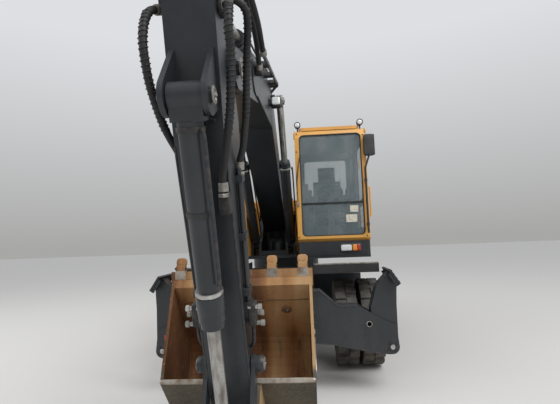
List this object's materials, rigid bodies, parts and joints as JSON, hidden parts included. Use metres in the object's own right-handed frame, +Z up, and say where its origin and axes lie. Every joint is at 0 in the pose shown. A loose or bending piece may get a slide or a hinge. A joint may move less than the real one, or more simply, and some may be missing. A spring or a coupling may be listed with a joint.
{
  "type": "wheeled excavator",
  "caption": "Wheeled excavator with twin tyres, slewing upper structure and cab, one-piece boom, arm and curled bucket, folded stabilisers and a dozer blade.",
  "frame": {"origin": "on the ground under the slewing axis, midway between the wheels of each axle", "axes": "+Z up; the boom points along -Y, the dozer blade lies along +Y, and the cab stands on the +X side"},
  "size_m": [2.629, 7.5344, 3.6797],
  "materials": {
    "charcoal_paint": "semi-gloss paint, dusty",
    "orange_paint": "semi-gloss paint",
    "black_paint": "matt paint",
    "worn_steel": "worn bare steel with dust and rust",
    "rod_steel": "ground steel, greased",
    "machined_steel": "machined, dusty",
    "tyre_rubber": "dusty rubber",
    "window_glass": "clear tinted glass",
    "black_plastic": "grained plastic"
  },
  "bodies": {
    "chassis": {"chassis_frame": "charcoal_paint", "slew_ring": "machined_steel", "front_axle": "charcoal_paint", "rear_axle": "charcoal_paint", "driveline": "machined_steel", "side_steps": "charcoal_paint", "fenders": "black_paint", "stabiliser_beam": "charcoal_paint"},
    "knuckle_left": {"knuckle_left": "charcoal_paint"},
    "knuckle_right": {"knuckle_right": "charcoal_paint"},
    "wheel_front_left": {"rims_front_left": "orange_paint", "tyres_front_left": "tyre_rubber"},
    "wheel_front_right": {"rims_front_right": "orange_paint", "tyres_front_right": "tyre_rubber"},
    "wheel_rear_left": {"rims_rear_left": "orange_paint", "tyres_rear_left": "tyre_rubber"},
    "wheel_rear_right": {"rims_rear_right": "orange_paint", "tyres_rear_right": "tyre_rubber"},
    "leg_left": {"leg_left": "charcoal_paint"},
    "leg_right": {"leg_right": "charcoal_paint"},
    "leg_barrel_left": {"leg_barrel_left": "charcoal_paint"},
    "leg_barrel_right": {"leg_barrel_right": "charcoal_paint"},
    "leg_rod_left": {"leg_rod_left": "rod_steel"},
    "leg_rod_right": {"leg_rod_right": "rod_steel"},
    "blade": {"blade": "charcoal_paint"},
    "blade_barrels": {"blade_barrels": "charcoal_paint"},
    "blade_rods": {"blade_rods": "rod_steel"},
    "upper": {"turntable_frame": "charcoal_paint", "side_decks": "charcoal_paint", "counterweight": "orange_paint", "engine_block": "black_paint", "body_covers": "orange_paint", "exhaust": "black_paint", "swing_motor": "charcoal_paint", "cab_shell": "orange_paint", "cab_glass": "window_glass", "seat": "black_plastic", "controls": "black_plastic", "handrails": "black_paint", "lamps": "black_plastic"},
    "hood": {"hood": "orange_paint"},
    "door": {"cab_door": "orange_paint", "door_glass": "window_glass"},
    "boom": {"boom": "charcoal_paint", "boom_pipes": "charcoal_paint"},
    "arm": {"arm": "charcoal_paint", "arm_pipes": "charcoal_paint"},
    "bucket": {"bucket": "worn_steel", "bucket_teeth": "worn_steel"},
    "rocker": {"rocker": "charcoal_paint"},
    "bucket_link": {"bucket_link": "charcoal_paint"},
    "boom_barrels": {"boom_barrels": "charcoal_paint"},
    "boom_rods": {"boom_rods": "rod_steel"},
    "arm_barrel": {"arm_barrel": "charcoal_paint"},
    "arm_rod": {"arm_rod": "rod_steel"},
    "bucket_barrel": {"bucket_barrel": "charcoal_paint"},
    "bucket_rod": {"bucket_rod": "rod_steel"}
  },
  "joints": [
    {"name": "slewing", "type": "hinge", "parent": "chassis", "child": "upper", "pos_m": [0, 0, 1.165], "axis": [0, 0, 1], "continuous": true},
    {"name": "steering_left", "type": "hinge", "parent": "chassis", "child": "knuckle_left", "pos_m": [0.62, -1.55, 0.528], "axis": [0, 0, 1], "range_deg": [-28, 28]},
    {"name": "steering_right", "type": "hinge", "parent": "chassis", "child": "knuckle_right", "pos_m": [-0.62, -1.55, 0.528], "axis": [0, 0, 1], "range_deg": [-28, 28]},
    {"name": "spin_front_left", "type": "hinge", "parent": "knuckle_left", "child": "wheel_front_left", "pos_m": [0.957, -1.55, 0.528], "axis": [1, 0, 0], "continuous": true},
    {"name": "spin_rear_left", "type": "hinge", "parent": "chassis", "child": "wheel_rear_left", "pos_m": [0.957, 1.05, 0.528], "axis": [1, 0, 0], "continuous": true},
    {"name": "spin_front_right", "type": "hinge", "parent": "knuckle_right", "child": "wheel_front_right", "pos_m": [-0.957, -1.55, 0.528], "axis": [1, 0, 0], "continuous": true},
    {"name": "spin_rear_right", "type": "hinge", "parent": "chassis", "child": "wheel_rear_right", "pos_m": [-0.957, 1.05, 0.528], "axis": [1, 0, 0], "continuous": true},
    {"name": "leg_left_turn", "type": "hinge", "parent": "chassis", "child": "leg_left", "pos_m": [1.19, -2.52, 0.47], "axis": [0, 1, 0], "range_deg": [0, 125]},
    {"name": "leg_barrel_left_tilt", "type": "hinge", "parent": "chassis", "child": "leg_barrel_left", "pos_m": [0.42, -2.52, 0.71], "axis": [0, 1, 0], "range_deg": [-11, 1]},
    {"name": "leg_rod_left_slide", "type": "slide", "parent": "leg_barrel_left", "child": "leg_rod_left", "axis": [0.9693, 0, -0.2458], "range_m": [-0.002, 0.279]},
    {"name": "leg_right_turn", "type": "hinge", "parent": "chassis", "child": "leg_right", "pos_m": [-1.19, -2.52, 0.47], "axis": [0, -1, 0], "range_deg": [0, 125]},
    {"name": "leg_barrel_right_tilt", "type": "hinge", "parent": "chassis", "child": "leg_barrel_right", "pos_m": [-0.42, -2.52, 0.71], "axis": [0, -1, 0], "range_deg": [-11, 1]},
    {"name": "leg_rod_right_slide", "type": "slide", "parent": "leg_barrel_right", "child": "leg_rod_right", "axis": [-0.9693, 0, -0.2458], "range_m": [-0.002, 0.279]},
    {"name": "blade_turn", "type": "hinge", "parent": "chassis", "child": "blade", "pos_m": [0, 1.76, 0.6], "axis": [-1, 0, 0], "range_deg": [0, 40]},
    {"name": "blade_barrels_tilt", "type": "hinge", "parent": "chassis", "child": "blade_barrels", "pos_m": [0, 1.83, 1.04], "axis": [-1, 0, 0], "range_deg": [-1, 16]},
    {"name": "blade_rods_slide", "type": "slide", "parent": "blade_barrels", "child": "blade_rods", "axis": [0, 0.4333, -0.9013], "range_m": [-0.002, 0.152]},
    {"name": "boom_turn", "type": "hinge", "parent": "upper", "child": "boom", "pos_m": [-0.15, -0.15, 1.85], "axis": [-1, 0, 0], "range_deg": [-40, 48]},
    {"name": "boom_barrels_tilt", "type": "hinge", "parent": "upper", "child": "boom_barrels", "pos_m": [-0.15, -0.6, 1.52], "axis": [-1, 0, 0], "range_deg": [-42, 50]},
    {"name": "boom_rods_slide", "type": "slide", "parent": "boom_barrels", "child": "boom_rods", "axis": [0, -0.7229, 0.691], "range_m": [-0.37, 0.44]},
    {"name": "arm_turn", "type": "hinge", "parent": "boom", "child": "arm", "pos_m": [-0.15, -4.68349, 2.56803], "axis": [1, 0, 0], "range_deg": [-85, 30]},
    {"name": "arm_barrel_tilt", "type": "hinge", "parent": "boom", "child": "arm_barrel", "pos_m": [-0.15, -2.23231, 3.59726], "axis": [1, 0, 0], "range_deg": [-2, 1]},
    {"name": "arm_rod_slide", "type": "slide", "parent": "arm_barrel", "child": "arm_rod", "axis": [0, -0.9758, -0.2185], "range_m": [-0.69, 0.245]},
    {"name": "bucket_turn", "type": "hinge", "parent": "arm", "child": "bucket", "pos_m": [-0.15, -4.11926, 0.46232], "axis": [1, 0, 0], "range_deg": [-155, 0]},
    {"name": "rocker_turn", "type": "hinge", "parent": "arm", "child": "rocker", "pos_m": [-0.15, -4.23176, 0.80487], "axis": [1, 0, 0], "range_deg": [-100, 1]},
    {"name": "bucket_link_turn", "type": "hinge", "parent": "rocker", "child": "bucket_link", "pos_m": [-0.15, -4.39481, 0.33154], "axis": [1, 0, 0], "range_deg": [-1, 40]},
    {"name": "bucket_barrel_tilt", "type": "hinge", "parent": "arm", "child": "bucket_barrel", "pos_m": [-0.15, -5.11245, 2.25639], "axis": [1, 0, 0], "range_deg": [-7, 1]},
    {"name": "bucket_rod_slide", "type": "slide", "parent": "bucket_barrel", "child": "bucket_rod", "axis": [0, 0.3493, -0.937], "range_m": [-0.76, 0.005]},
    {"name": "door_turn", "type": "hinge", "parent": "upper", "child": "door", "pos_m": [1.252, -0.384, 2.3], "axis": [0, 0, 1], "range_deg": [0, 150]},
    {"name": "hood_turn", "type": "hinge", "parent": "upper", "child": "hood", "pos_m": [0, 1.476, 2.302], "axis": [-1, 0, 0], "range_deg": [0, 60]}
  ],
  "couplings": [
    {"joint": "steering_right", "follows": "steering_left", "ratio": 1},
    {"joint": "leg_barrel_left_tilt", "follows": "leg_left_turn", "ratio": -0.07829},
    {"joint": "leg_rod_left_slide", "follows": "leg_left_turn", "m_per_rad": 0.12653},
    {"joint": "leg_barrel_right_tilt", "follows": "leg_right_turn", "ratio": -0.07829},
    {"joint": "leg_rod_right_slide", "follows": "leg_right_turn", "m_per_rad": 0.12653},
    {"joint": "blade_barrels_tilt", "follows": "blade_turn", "ratio": 0.38841},
    {"joint": "blade_rods_slide", "follows": "blade_turn", "m_per_rad": 0.21486},
    {"joint": "boom_barrels_tilt", "follows": "boom_turn", "ratio": 1.0227},
    {"joint": "boom_rods_slide", "follows": "boom_turn", "m_per_rad": 0.52276},
    {"joint": "arm_barrel_tilt", "follows": "arm_turn", "ratio": 0.0107},
    {"joint": "arm_rod_slide", "follows": "arm_turn", "m_per_rad": 0.46},
    {"joint": "rocker_turn", "follows": "bucket_turn", "ratio": 0.63652},
    {"joint": "bucket_link_turn", "follows": "bucket_turn", "ratio": -0.25036},
    {"joint": "bucket_barrel_tilt", "follows": "bucket_turn", "ratio": 0.03719},
    {"joint": "bucket_rod_slide", "follows": "bucket_turn", "m_per_rad": 0.27776}
  ]
}
